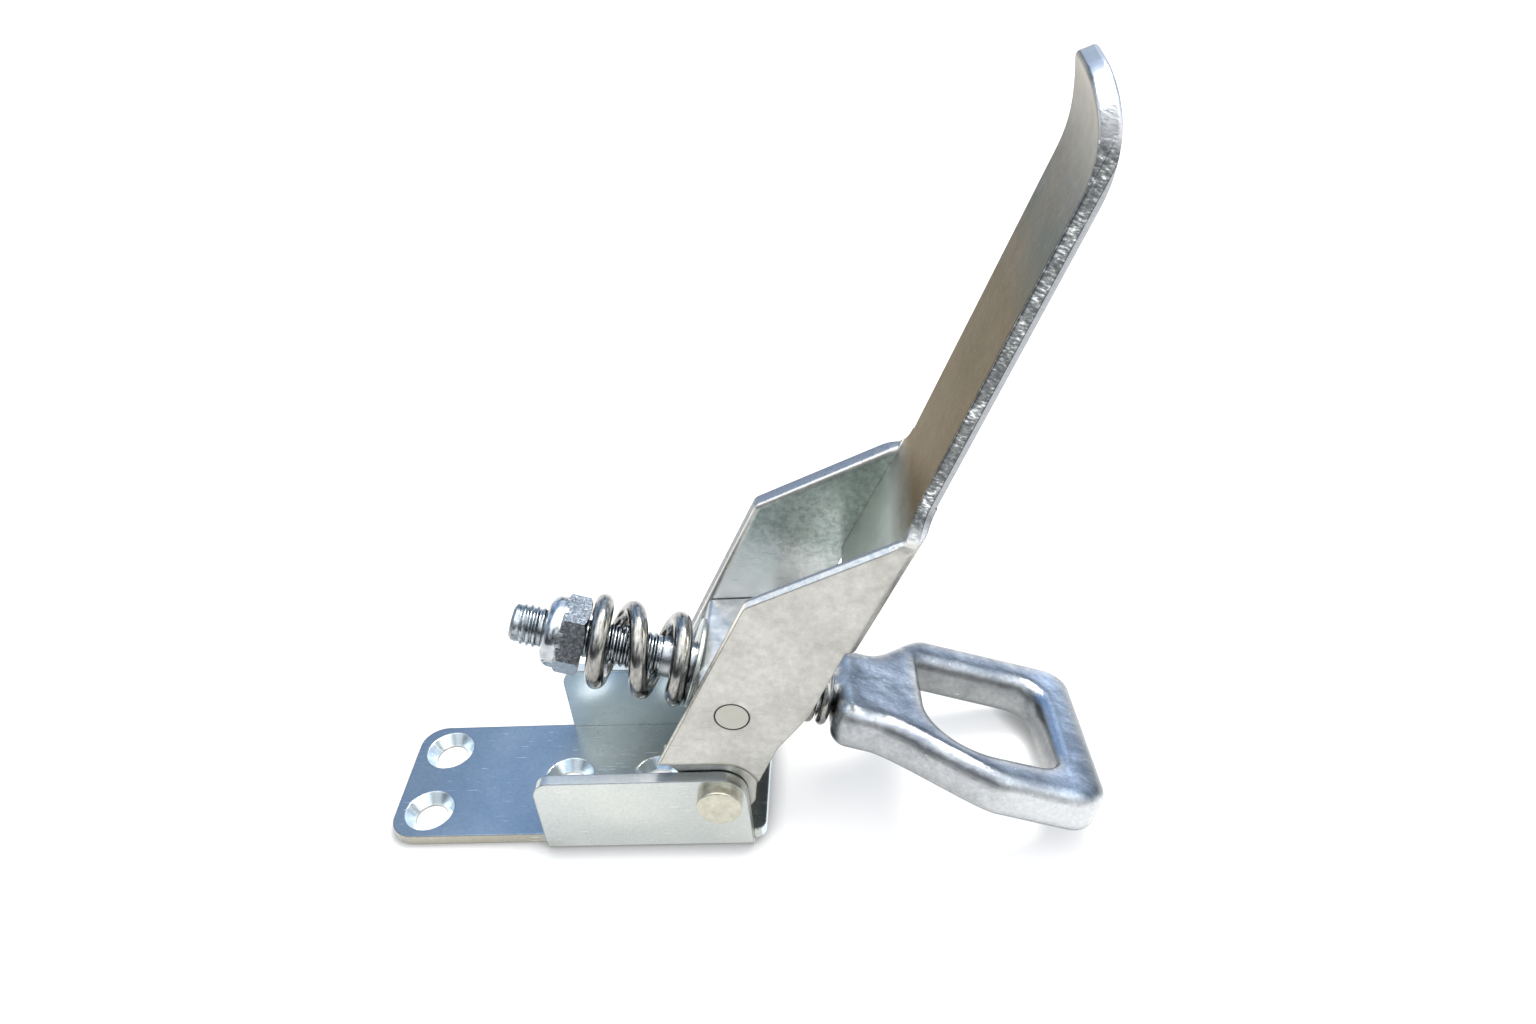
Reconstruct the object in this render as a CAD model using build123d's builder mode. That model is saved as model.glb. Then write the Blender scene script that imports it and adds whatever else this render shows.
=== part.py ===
from build123d import *
from math import radians, degrees, sin, cos, tan, atan2
import os

os.makedirs("parts", exist_ok=True)

# Over centre toggle latch with a spring loaded eye bolt, millimetres.
# X runs along the base plate towards the eye, Z is up, Y is the line of the pins.
# The origin is on the mounting face, straight below the main pivot.

# ---- base bracket: one folded sheet -------------------------------------------
base_t = 3.0               # sheet thickness
plate_left = -88.0
plate_right = 9.6
plate_half_w = 19.0
plate_corner_r = 6.5
plate_right_r = 3.0
ear_outer = 21.2           # half width over the two ears
ear_left = -45.6
ear_top_clear = 6.7        # metal over the pivot centre, and the radius of the ear's end
ear_corner_r = 4.5
ear_bend_r = 1.6
pivot_z = 17.0             # pivot centre above the mounting face
screw_x_pair = -79.0
screw_pair_half = 10.5
screw_x_mid = -43.6
screw_x_near = -19.8
screw_hole_d = 8.4
screw_csk_d = 13.0

# ---- main pivot pin -----------------------------------------------------------
pin_d = 8.0
pin_head_d = 11.0
pin_head_h = 3.0
pin_peen_d = 10.6
pin_peen_h = 1.8
pin_peen_r = 1.4           # rounding of the hammered end
pin_head_r = 0.6           # broken edge of the head
pin_clear = 0.05           # running clearance of each pin in its holes, radial

# ---- lever: one pressed sheet ---------------------------------------------------
lever_t = 4.0
lever_angle = 64.0         # handle direction above +X
wall_outer = 20.6          # half width over the channel walls
tongue_gap = 0.3           # between the lever's tongues and the ears
lever_eye_r = 9.0          # metal round the pivot hole
wall_top_l = 58.4          # where the free edge turns towards the throat
wall_left_n = 17.2
wall_left_top_n = 15.2
web_start_l = 55.0
web_face_n = -8.6          # inner face of the web at its lower end
throat_l = 88.0
throat_face_n = -9.5
throat_wide_l = 83.0       # in plan the walls draw in to the handle between these two
throat_narrow_l = 94.0
throat_pull = 5.5          # length over which each end of that curve keeps its direction
handle_half_w = 14.4
handle_end_l = 162.0       # end of the straight handle
handle_end_n = -8.1
curl_r = 27.0              # inner radius of the curled tip
curl_deg = 43.0
tip_corner_r = 11.0        # the tip's corners in plan
handle_edge_r = 0.8        # broken edges of the handle
foot_edge_n = -6.6         # lower edge of the walls towards the eye
bend_r = 4.5               # outside radius of the channel's bends
joggle_r = 2.4
joggle_gap = 0.6           # pivot eye to the foot of the wide walls
joggle_lap = 4.2           # length over which tongue and wall are one
tongue_inset = 1.4         # the tongues lie this much inside the walls' outline
wall_roll_r = 1.5          # rolled inner edge of the walls
wall_corner_r = 2.6
web_rise = 3.0             # the walls' lower edge drops this much before the web starts
throat_wall_l = 3.0        # the walls' free edge ends this far before the throat
throat_wall_n = 1.8
foot_l = 3.2               # lower end of the walls' left edge
foot_n = 3.3               # end of that edge at the joggle
heel_l = 6.8               # where the foot's curve meets the lower edge
drop_l = 21.8              # the lower edge starts to drop towards the web
drop_len = 12.2

# ---- trunnion block ---------------------------------------------------------------
trunnion_x = 5.9
trunnion_z = 44.2          # journal centre in this pose
journal_d = 7.6
journal_clear = 0.08
block_gap = 0.3            # block end to channel wall
block_left_s = -11.0       # faces square to the rod, from below the journal
block_right_s = 8.5
block_half_h = 8.6         # rod centre to the block's underside
block_top_cover = 0.3      # metal over the journal
block_front = 8.5          # journal centre to the block's upright front face
block_edge_r = 1.4
shoulder_r = 12.4          # full width of the block ends at this radius from the journal
rod_drop = 5.9             # rod centre below the journal centre, in this pose
rod_angle = 20.1           # rod slope below the horizontal
eye_turn = -9.3            # how far the eye has swung round the rod in this pose

# ---- eye bolt ---------------------------------------------------------------------
rod_d = 10.0
rod_core_d = 8.9           # core of the threaded length
rod_clear = 0.3            # rod in the block's hole, radial
rod_end_s = -56.6
rod_end_chamfer = 0.8
thread_end_s = -20.0
shoulder_s = 23.2
neck_half_w = 14.1
neck_corner_r = 4.5
eye_half_w = 26.8
eye_half_t = 5.6
far_flare_s = 30.8         # the far shoulder widens between these two
far_full_s = 48.2
near_flare_s = 32.7        # the near shoulder is drawn out longer
near_full_s = 63.3
flare_pull = 5.9           # length over which each shoulder keeps its direction
eye_end_s = 88.2
eye_corner_r = 7.3
slot_start_s = 45.4
slot_end_s = 78.3
slot_half_w = 17.0
slot_far_r = 5.4           # corner of the slot's root on the far side
slot_near_r = 15.7         # and the long hollow on the near side
slot_corner_r = 6.5
eye_edge_r = 2.7

# ---- springs, washer and nut ---------------------------------------------------------
washer_t = 1.2
washer_d = 22.0
washer_edge_r = 0.4
spring_od = 23.0
spring_wire = 4.6
spring_turns = 2.75
spring_end_pitch = 2.0     # climb per turn where the ends lie flat
spring_start_turn = 0.0    # the coil starts on the +Y side of the rod
rebound_od = 16.0
rebound_wire = 2.6
rebound_turns = 3.5
rebound_end_pitch = 2.7
rebound_start_turn = 0.25
coil_ease_start = 0.25     # part of a turn that lies flat at the start and at the end
coil_ease_end = 0.15
nut_af = 17.0              # across flats
nut_hex_h = 6.2
nut_h = 10.0
nut_collar_d = 17.4
nut_dome_r = 3.0           # rounding of the collar
nut_face_s = -38.7         # nut's face on the spring
nut_clear = 0.05
nut_turn = 0.0             # how the hexagon stands on the thread
nut_chamfer_deg = 30.0     # turned chamfer on the hexagon's corners
nut_lip = 0.6              # rolled lip over the nylon ring
nut_lip_w = 0.9
nylon_od = 13.4
nylon_t = 2.4

# ---- values worked out from the sizes ------------------------------------------------
ear_inner = ear_outer - base_t
ear_top = pivot_z + ear_top_clear
tongue_outer = ear_inner - tongue_gap
tongue_inner = tongue_outer - lever_t
wall_inner = wall_outer - lever_t
th = radians(lever_angle)
al = radians(rod_angle)
rod_x = trunnion_x
rod_z = trunnion_z - rod_drop
u_dir = Vector(cos(al), 0, -sin(al))
n_dir = Vector(sin(al), 0, cos(al))
eye_y = Vector(0, cos(radians(eye_turn)), 0) + n_dir * sin(radians(eye_turn))
reach = 300.0              # longer than any cut has to be


def rod_point(s, n=0.0):
    return Vector(rod_x, 0, rod_z) + u_dir * s + n_dir * n


side = Plane(origin=(0, 0, 0), x_dir=(1, 0, 0), z_dir=(0, -1, 0))
lever_side = Plane(origin=(0, 0, pivot_z), x_dir=(cos(th), 0, sin(th)), z_dir=(0, -1, 0))
lever_plan = Plane(origin=(0, 0, pivot_z), x_dir=(cos(th), 0, sin(th)), z_dir=(-sin(th), 0, cos(th)))
rod_side = Plane(origin=rod_point(0), x_dir=u_dir, z_dir=(0, -1, 0))
eye_plan = Plane(origin=rod_point(0), x_dir=u_dir, z_dir=u_dir.cross(eye_y))


def across(s):
    # plane square to the rod at distance s from the block, local x along +Y
    return Plane(origin=rod_point(s), x_dir=(0, 1, 0), z_dir=u_dir)


# ---- base bracket ----------------------------------------------------------------------
with BuildPart() as base_bracket:
    with BuildSketch(Plane.XY):
        with Locations(((plate_left + plate_right) / 2, 0)):
            Rectangle(plate_right - plate_left, 2 * plate_half_w)
        fillet(vertices().sort_by(Axis.X)[:2], plate_corner_r)
        fillet(vertices().sort_by(Axis.X)[-2:], plate_right_r)
    extrude(amount=base_t)
    with BuildSketch(side.offset(-ear_outer)):
        with BuildLine():
            Polyline(
                (0, ear_top),
                (ear_left, ear_top),
                (ear_left, 0),
                (ear_top_clear, 0),
                (ear_top_clear, pivot_z),
            )
            RadiusArc((0, ear_top), (ear_top_clear, pivot_z), ear_top_clear)
        make_face()
    extrude(amount=2 * ear_outer)
    with BuildSketch(side):
        with Locations(((ear_left + ear_top_clear) / 2, base_t + ear_top / 2)):
            Rectangle(reach, ear_top)
    extrude(amount=ear_inner, both=True, mode=Mode.SUBTRACT)
    uprights = edges().filter_by(Axis.Y).group_by(Axis.Z)[-1].sort_by(Axis.X)[:2]
    fillet(uprights, ear_corner_r)
    bends = edges().filter_by(Axis.X).group_by(Axis.Z)[0]
    fillet(bends.filter_by(lambda e: abs(e.center().Y) > plate_half_w), ear_bend_r)
    with Locations(Plane.XY.offset(base_t)):
        with Locations(
            (screw_x_pair, screw_pair_half),
            (screw_x_pair, -screw_pair_half),
            (screw_x_mid, 0),
            (screw_x_near, 0),
        ):
            CounterSinkHole(screw_hole_d / 2, screw_csk_d / 2)
    with Locations(Plane(origin=(0, 0, pivot_z), z_dir=(0, -1, 0))):
        Hole(pin_d / 2 + pin_clear)
base_bracket.part.label = "base_bracket"
export_step(base_bracket.part, "parts/base_bracket.step")

# ---- main pivot pin ----------------------------------------------------------------------
pin_axis = Plane(origin=(0, 0, pivot_z), x_dir=(1, 0, 0), z_dir=(0, 1, 0))
with BuildPart() as main_pivot_pin:
    with BuildSketch(pin_axis.offset(-ear_outer - pin_head_h)):
        Circle(pin_head_d / 2)
    extrude(amount=pin_head_h)
    fillet(edges().group_by(Axis.Y)[0], pin_head_r)
    with BuildSketch(pin_axis.offset(-ear_outer)):
        Circle(pin_d / 2)
    extrude(amount=2 * ear_outer)
    with BuildSketch(pin_axis.offset(ear_outer)):
        Circle(pin_peen_d / 2)
    extrude(amount=pin_peen_h)
    fillet(edges().group_by(Axis.Y)[-1], pin_peen_r)
main_pivot_pin.part.label = "main_pivot_pin"
export_step(main_pivot_pin.part, "parts/main_pivot_pin.step")

# ---- lever ----------------------------------------------------------------------------------
web_back_n = web_face_n - lever_t
throat_back_n = throat_face_n - lever_t
joggle_l = lever_eye_r + joggle_gap  # foot of the wide walls beside the pivot
with BuildPart() as lever:
    # the channel: walls and web as one block, then hollowed
    with BuildSketch(lever_side):
        with BuildLine():
            foot = Line((foot_l, wall_left_n), (joggle_l, foot_n))
            TangentArc(foot @ 1, (heel_l, foot_edge_n), tangent=foot % 1)
            Polyline(
                (heel_l, foot_edge_n),
                (drop_l, foot_edge_n),
                (drop_l + drop_len, foot_edge_n - web_rise),
                (web_start_l, foot_edge_n - web_rise),
                (web_start_l, web_back_n),
                (throat_l, throat_back_n),
                (throat_narrow_l, throat_back_n),
                (throat_narrow_l, throat_face_n + bend_r),
                (throat_l - throat_wall_l, throat_face_n + bend_r),
                (throat_l - throat_wall_l, throat_face_n + throat_wall_n),
                (wall_top_l, wall_left_top_n),
                (foot_l, wall_left_n),
            )
        make_face()
    extrude(amount=wall_outer, both=True)
    local = lever_side.to_local_coords
    corners = edges().filter_by(Axis.Y).filter_by(lambda e: local(e.center()).Y > wall_left_top_n - 0.5)
    corners = corners.filter_by(lambda e: local(e.center()).X > wall_top_l / 2)
    fillet(corners, wall_corner_r)
    bends = edges().filter_by(lambda e: abs(abs(e.center().Y) - wall_outer) < 0.01)
    bends = bends.filter_by(lambda e: local(e.center()).Y < web_back_n + 0.1)
    bends = bends.filter_by(lambda e: e.length > 5.0)
    fillet(bends, bend_r)
    with BuildSketch(lever_side):
        with BuildLine():
            Polyline(
                (-reach, -reach),
                (web_start_l, -reach),
                (web_start_l, web_face_n),
                (throat_l - throat_wall_l, throat_face_n),
                (reach, throat_face_n),
                (reach, reach),
                (-reach, reach),
                close=True,
            )
        make_face()
    extrude(amount=wall_inner, both=True, mode=Mode.SUBTRACT)
    with BuildSketch(lever_side):
        with BuildLine():
            Polyline(
                (throat_l - throat_wall_l, reach),
                (throat_l - throat_wall_l, throat_face_n + throat_wall_n),
                (throat_l - throat_wall_l + throat_wall_n, throat_face_n),
                (reach, throat_face_n),
                (reach, reach),
                close=True,
            )
        make_face()
    extrude(amount=wall_outer, both=True, mode=Mode.SUBTRACT)
    # the walls' free edges are rolled over inside, and the joggle starts on a radius
    for flip in (1, -1):
        rolled = edges().filter_by(lambda e: abs(e.center().Y - flip * wall_inner) < 0.01)
        rolled = rolled.filter_by(lambda e: local(e.center()).Y > web_face_n + 1.0)
        fillet(rolled.filter_by(lambda e: local(e.center()).X > wall_top_l / 2), wall_roll_r)
    for flip in (1, -1):
        foot_edges = edges().filter_by(lambda e: abs(e.center().Y - flip * wall_outer) < 0.01)
        foot_edges = foot_edges.filter_by(lambda e: local(e.center()).X < joggle_l + 1.0)
        foot_edges = foot_edges.filter_by(lambda e: local(e.center()).Y < wall_left_n - 2.0)
        fillet(foot_edges, joggle_r)
    # the throat draws in to the handle's width on an S curve
    for flip in (1, -1):
        with BuildSketch(lever_plan):
            with BuildLine():
                Bezier(
                    (throat_wide_l, flip * wall_outer),
                    (throat_wide_l + throat_pull, flip * wall_outer),
                    (throat_narrow_l - throat_pull, flip * handle_half_w),
                    (throat_narrow_l, flip * handle_half_w),
                )
                Polyline(
                    (throat_narrow_l, flip * handle_half_w),
                    (reach, flip * handle_half_w),
                    (reach, flip * reach),
                    (throat_wide_l, flip * reach),
                    (throat_wide_l, flip * wall_outer),
                )
            make_face()
        extrude(amount=reach, both=True, mode=Mode.SUBTRACT)
    # the handle: a flat strip with broken edges that ends in a curl
    with BuildPart(mode=Mode.PRIVATE) as handle:
        with BuildSketch(lever_side):
            with BuildLine():
                throat_end = Vector(throat_narrow_l, throat_face_n)
                slope = Vector(handle_end_l, handle_end_n) - throat_end
                lean = degrees(atan2(slope.Y, slope.X))
                curl_mid = throat_end + slope + Vector(0, curl_r).rotate(Axis.Z, lean)
                inside = CenterArc(curl_mid, curl_r, lean - 90.0, curl_deg)
                outside = CenterArc(curl_mid, curl_r + lever_t, lean - 90.0, curl_deg)
                Line(inside @ 1, outside @ 1)
                Polyline(
                    inside @ 0,
                    throat_end,
                    throat_end - (bend_r, 0),
                    throat_end - (bend_r, lever_t),
                    throat_end - (0, lever_t),
                    outside @ 0,
                )
            make_face()
        extrude(amount=handle_half_w, both=True)
        tip = edges().filter_by(lambda e: e.length < lever_t + 0.1)
        tip = tip.filter_by(lambda e: abs(e.center().Y) > handle_half_w - 0.1)
        fillet(tip.filter_by(lambda e: local(e.center()).X > handle_end_l + curl_r / 2), tip_corner_r)
        rim = edges().filter_by(lambda e: abs(e.center().Y) > handle_half_w - 0.1)
        rim = rim.filter_by(lambda e: e.length > handle_half_w)
        fillet(rim.filter_by(lambda e: local(e.center()).X > throat_narrow_l), handle_edge_r)
    add(handle.part)
    # the tongues that go down between the ears, stepped in through a joggle
    for flip in (1, -1):
        with BuildPart(mode=Mode.PRIVATE) as tongue:
            with BuildSketch(lever_side.offset(flip * tongue_inner)):
                with BuildLine():
                    Polyline(
                        (0, -lever_eye_r),
                        (heel_l - tongue_inset, foot_edge_n - tongue_inset / 2),
                        (joggle_l + joggle_lap, foot_edge_n),
                        (joggle_l + joggle_lap, foot_n + joggle_lap / 2),
                        (foot_l + joggle_lap + tongue_inset / 2, wall_left_n - tongue_inset / 2),
                        (foot_l + tongue_inset, wall_left_n - tongue_inset / 2),
                        (0, lever_eye_r),
                    )
                    RadiusArc((0, lever_eye_r), (0, -lever_eye_r), -lever_eye_r)
                make_face()
            extrude(amount=flip * lever_t)
            tops = edges().filter_by(lambda e: abs(abs(e.center().Y) - tongue_inner) < 0.01)
            tops = tops.filter_by(lambda e: local(e.center()).X > joggle_l)
            tops = tops.filter_by(lambda e: local(e.center()).Y > foot_edge_n + 0.5)
            chamfer(tops, wall_outer - tongue_outer)
        add(tongue.part)
    with Locations(Plane(origin=(0, 0, pivot_z), z_dir=(0, -1, 0))):
        Hole(pin_d / 2 + pin_clear)
    with Locations(Plane(origin=(trunnion_x, 0, trunnion_z), z_dir=(0, -1, 0))):
        Hole(journal_d / 2 + journal_clear)
lever.part.label = "lever"
export_step(lever.part, "parts/lever.step")

# ---- trunnion block ---------------------------------------------------------------------------
block_half_w = wall_inner - block_gap
block_top_z = trunnion_z + journal_d / 2 + block_top_cover
journal_plane = Plane(origin=(trunnion_x, 0, trunnion_z), z_dir=(0, 1, 0))
with BuildPart() as trunnion_block:
    with BuildSketch(rod_side):
        with Locations(((block_left_s + block_right_s) / 2, block_half_h)):
            Rectangle(block_right_s - block_left_s, 4 * block_half_h)
    extrude(amount=block_half_w, both=True)
    with BuildSketch(side):
        with Locations((trunnion_x + block_front - reach / 2, block_top_z - reach / 2)):
            Rectangle(reach, reach)
    extrude(amount=block_half_w, both=True, mode=Mode.INTERSECT)
    fillet(edges().filter_by(Axis.Y), block_edge_r)
    # below the shoulders the ends are cut back, clear of the lever's joggles
    for flip in (1, -1):
        block_end = journal_plane.offset(flip * (tongue_inner - block_gap))
        with BuildSketch(block_end):
            Rectangle(reach, reach)
            Circle(shoulder_r, mode=Mode.SUBTRACT)
        extrude(amount=flip * reach, mode=Mode.SUBTRACT)
    with BuildSketch(journal_plane.offset(-wall_outer)):
        Circle(journal_d / 2)
    extrude(amount=2 * wall_outer)
    with Locations(across(0)):
        Hole(rod_d / 2 + rod_clear)
trunnion_block.part.label = "trunnion_block"
export_step(trunnion_block.part, "parts/trunnion_block.step")

# ---- eye bolt -----------------------------------------------------------------------------------
with BuildPart() as eye_bolt:
    # the forged eye: its outline with unlike shoulders, less the slot
    with BuildSketch(eye_plan.offset(-eye_half_t)):
        with BuildLine():
            Polyline(
                (near_flare_s, -neck_half_w),
                (shoulder_s, -neck_half_w),
                (shoulder_s, neck_half_w),
                (far_flare_s, neck_half_w),
            )
            Bezier(
                (far_flare_s, neck_half_w),
                (far_flare_s + flare_pull, neck_half_w),
                (far_full_s - flare_pull, eye_half_w),
                (far_full_s, eye_half_w),
            )
            Polyline(
                (far_full_s, eye_half_w),
                (eye_end_s, eye_half_w),
                (eye_end_s, -eye_half_w),
                (near_full_s, -eye_half_w),
            )
            Bezier(
                (near_full_s, -eye_half_w),
                (near_full_s - flare_pull, -eye_half_w),
                (near_flare_s + flare_pull, -neck_half_w),
                (near_flare_s, -neck_half_w),
            )
        make_face()
        fillet(vertices().group_by(Axis.X)[-1], eye_corner_r)
        fillet(vertices().group_by(Axis.X)[0], neck_corner_r)
        with BuildSketch(mode=Mode.SUBTRACT):
            with Locations(((slot_start_s + slot_end_s) / 2, 0)):
                Rectangle(slot_end_s - slot_start_s, 2 * slot_half_w)
            root = vertices().group_by(Axis.X)[0].sort_by(Axis.Y)
            fillet(root[0], slot_near_r)
            fillet(root[-1], slot_far_r)
            fillet(vertices().group_by(Axis.X)[-1], slot_corner_r)
    extrude(amount=2 * eye_half_t)
    eye_local = eye_plan.to_local_coords
    rims = edges().filter_by(lambda e: abs(abs(eye_local(e.center()).Z) - eye_half_t) < 0.01)
    fillet(rims.filter_by(lambda e: eye_local(e.center()).X > shoulder_s + neck_corner_r), eye_edge_r)
    # the rod: plain shank and the core of the threaded length
    with BuildSketch(across(thread_end_s)):
        Circle(rod_d / 2)
    extrude(amount=shoulder_s + 1.0 - thread_end_s)
    with BuildSketch(across(rod_end_s)):
        Circle(rod_core_d / 2)
    extrude(amount=thread_end_s - rod_end_s)
    rod_end = edges().filter_by(GeomType.CIRCLE).sort_by(Axis(rod_point(0), u_dir))[0]
    chamfer(rod_end, rod_end_chamfer)
eye_bolt.part.label = "eye_bolt"
export_step(eye_bolt.part, "parts/eye_bolt.step")

# ---- spring washer, springs, lock nut --------------------------------------------------------------
washer_s = block_left_s - washer_t
with BuildPart() as spring_washer:
    with BuildSketch(across(washer_s)):
        Circle(washer_d / 2)
        Circle(rod_d / 2 + rod_clear, mode=Mode.SUBTRACT)
    extrude(amount=washer_t)
    fillet(edges().filter_by(lambda e: e.length > 3.0 * washer_d), washer_edge_r)
spring_washer.part.label = "spring_washer"
export_step(spring_washer.part, "parts/spring_washer.step")

nut_end_s = nut_face_s - nut_h


def coil(start_s, end_s, od, wire, turns, end_pitch, start_turn):
    # centre line of a right hand coil whose end turns lie flatter than the rest
    mean_r = (od - wire) / 2
    rise = end_s - start_s - wire - end_pitch * turns
    climb = turns - coil_ease_start - coil_ease_end
    points = []
    steps = round(12 * turns)
    for i in range(steps + 1):
        t = turns * i / steps
        x = min(max((t - coil_ease_start) / climb, 0.0), 1.0)
        s = start_s + wire / 2 + end_pitch * t + rise * x * x * (3.0 - 2.0 * x)
        turn = radians(360.0 * (start_turn + t))
        points.append(across(s).from_local_coords(Vector(mean_r * cos(turn), mean_r * sin(turn), 0)))
    return points


# the coil starts beside the nut, climbs over the rod and ends underneath it
with BuildPart() as main_spring:
    with BuildLine() as spring_line:
        Spline(
            coil(
                nut_face_s,
                washer_s,
                spring_od,
                spring_wire,
                spring_turns,
                spring_end_pitch,
                spring_start_turn,
            )
        )
    with BuildSketch(Plane(origin=spring_line.line @ 0, z_dir=spring_line.line % 0)):
        Circle(spring_wire / 2)
    sweep(path=spring_line.line)
main_spring.part.label = "main_spring"
export_step(main_spring.part, "parts/main_spring.step")

with BuildPart() as rebound_spring:
    with BuildLine() as rebound_line:
        Spline(
            coil(
                block_right_s,
                shoulder_s,
                rebound_od,
                rebound_wire,
                rebound_turns,
                rebound_end_pitch,
                rebound_start_turn,
            )
        )
    with BuildSketch(Plane(origin=rebound_line.line @ 0, z_dir=rebound_line.line % 0)):
        Circle(rebound_wire / 2)
    sweep(path=rebound_line.line)
rebound_spring.part.label = "rebound_spring"
export_step(rebound_spring.part, "parts/rebound_spring.step")

nut_corner_r = nut_af / 2 / cos(radians(30))
nut_hex_s = nut_face_s - nut_hex_h
with BuildPart() as lock_nut:
    with BuildSketch(across(nut_hex_s)):
        RegularPolygon(nut_corner_r, 6, rotation=nut_turn)
    extrude(amount=nut_hex_h)
    # turned chamfers on the corners of both faces
    with BuildPart(mode=Mode.PRIVATE) as turned:
        with BuildSketch(across(nut_hex_s)):
            Circle(nut_corner_r)
        extrude(amount=nut_hex_h)
        for end in turned.faces().filter_by(GeomType.PLANE):
            chamfer(
                end.edges(),
                length=nut_corner_r - nut_af / 2,
                length2=(nut_corner_r - nut_af / 2) * tan(radians(nut_chamfer_deg)),
                reference=end,
            )
    add(turned.part, mode=Mode.INTERSECT)
    with BuildSketch(across(nut_end_s)):
        Circle(nut_collar_d / 2)
    extrude(amount=nut_h - nut_hex_h + 1.0)
    fillet(edges().filter_by(GeomType.CIRCLE).sort_by(Axis(rod_point(0), u_dir))[0], nut_dome_r)
    with BuildSketch(across(nut_end_s)):
        Circle(rod_core_d / 2 + nut_clear)
    extrude(amount=nut_h, mode=Mode.SUBTRACT)
    with BuildSketch(across(nut_end_s + nut_lip)):
        Circle(nylon_od / 2)
    extrude(amount=nylon_t, mode=Mode.SUBTRACT)
    with BuildSketch(across(nut_end_s)):
        Circle(nylon_od / 2 - nut_lip_w)
    extrude(amount=nut_lip, mode=Mode.SUBTRACT)
lock_nut.part.label = "lock_nut"
export_step(lock_nut.part, "parts/lock_nut.step")

with BuildPart() as nylon_ring:
    with BuildSketch(across(nut_end_s + nut_lip)):
        Circle(nylon_od / 2)
        Circle(rod_core_d / 2 + nut_clear, mode=Mode.SUBTRACT)
    extrude(amount=nylon_t)
nylon_ring.part.label = "nylon_ring"
export_step(nylon_ring.part, "parts/nylon_ring.step")
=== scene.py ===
# %% [markdown]
# # Dressing a zinc plated toggle latch
# The imported model gives every rigid piece of the latch in its place: a folded base
# bracket, a long pressed lever, a trunnion block and an eye bolt between two springs.
# This script adds what a imported model leaves out: the thread, the springs as they are
# really wound, and the zinc finishes. We start by loading the frame.

# %% Load the frame
import math
from types import SimpleNamespace
import bpy
import numpy as np
from mathutils import Matrix, Vector


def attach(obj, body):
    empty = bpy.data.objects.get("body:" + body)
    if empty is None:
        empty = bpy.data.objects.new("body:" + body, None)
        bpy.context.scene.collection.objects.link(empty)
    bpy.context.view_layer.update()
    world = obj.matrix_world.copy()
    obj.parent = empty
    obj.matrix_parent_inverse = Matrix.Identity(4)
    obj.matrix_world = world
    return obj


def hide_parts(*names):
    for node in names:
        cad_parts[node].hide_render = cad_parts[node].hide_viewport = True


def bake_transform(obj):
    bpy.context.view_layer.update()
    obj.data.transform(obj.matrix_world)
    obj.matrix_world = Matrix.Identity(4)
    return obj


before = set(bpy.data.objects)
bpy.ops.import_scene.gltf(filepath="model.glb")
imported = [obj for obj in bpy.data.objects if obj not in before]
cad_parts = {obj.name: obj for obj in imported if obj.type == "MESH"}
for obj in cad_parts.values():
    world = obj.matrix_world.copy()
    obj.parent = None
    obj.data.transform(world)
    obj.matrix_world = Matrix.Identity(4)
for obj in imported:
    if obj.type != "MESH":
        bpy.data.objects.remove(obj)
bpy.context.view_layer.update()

# %% [markdown]
# ## Places that everything is measured from
# The latch is one flat mechanism in the XZ plane. Three directions describe it: the
# lever's own length, the rod's slope through the trunnion block, and the pins along Y.
# Blender works in metres, so every size is written in millimetres times MM.

# %% Places and directions
MM = 0.001
PIVOT = np.array([0.0, 0.0, 17.0]) * MM
JOURNAL = np.array([5.9, 0.0, 44.2]) * MM
ROD = np.array([5.9, 0.0, 38.3]) * MM  # rod centre below the journals
LEVER_ANGLE = math.radians(64.0)
ROD_SLOPE = math.radians(20.1)
ALONG = np.array([math.cos(ROD_SLOPE), 0.0, -math.sin(ROD_SLOPE)])
SIDE = np.array([0.0, 1.0, 0.0])
OUT = np.array([math.sin(ROD_SLOPE), 0.0, math.cos(ROD_SLOPE)])


def rod_frame(s, v, n):
    """A point s along the rod, v to the side and n out of it, all in millimetres."""
    s, v, n = (np.asarray(a, float)[..., None] for a in (s, v, n))
    return ROD + MM * (s * ALONG + v * SIDE + n * OUT)


print("the rod's direction:", ALONG.round(3).tolist())

# %% [markdown]
# ## The camera
# A camera is a position, a direction and a field of view. The view looks down on the
# latch from the front, turned a few degrees about its own axis. The lens is given in
# millimetres on a 36 mm wide sensor, from the focal length in pixels of a frame 1536
# pixels wide.

# %% Camera
CAM_POS = np.array([43.07, -216.20, 242.46]) * MM
CAM_YAW, CAM_PITCH, CAM_ROLL = (math.radians(a) for a in (-6.86, 35.62, -6.6))
CAM_FOCAL_PX, FRAME_W = 1216.13, 1536
SENSOR_W = 36.0


def camera_axes(yaw, pitch, roll):
    """Right, up and forward unit vectors: forward from yaw and downward pitch, then a roll."""
    forward = np.array([math.sin(yaw) * math.cos(pitch), math.cos(yaw) * math.cos(pitch), -math.sin(pitch)])
    level = np.array([math.cos(yaw), -math.sin(yaw), 0.0])
    upright = np.cross(level, forward)
    right = math.cos(roll) * level + math.sin(roll) * upright
    up = -math.sin(roll) * level + math.cos(roll) * upright
    return right, up, forward


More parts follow.
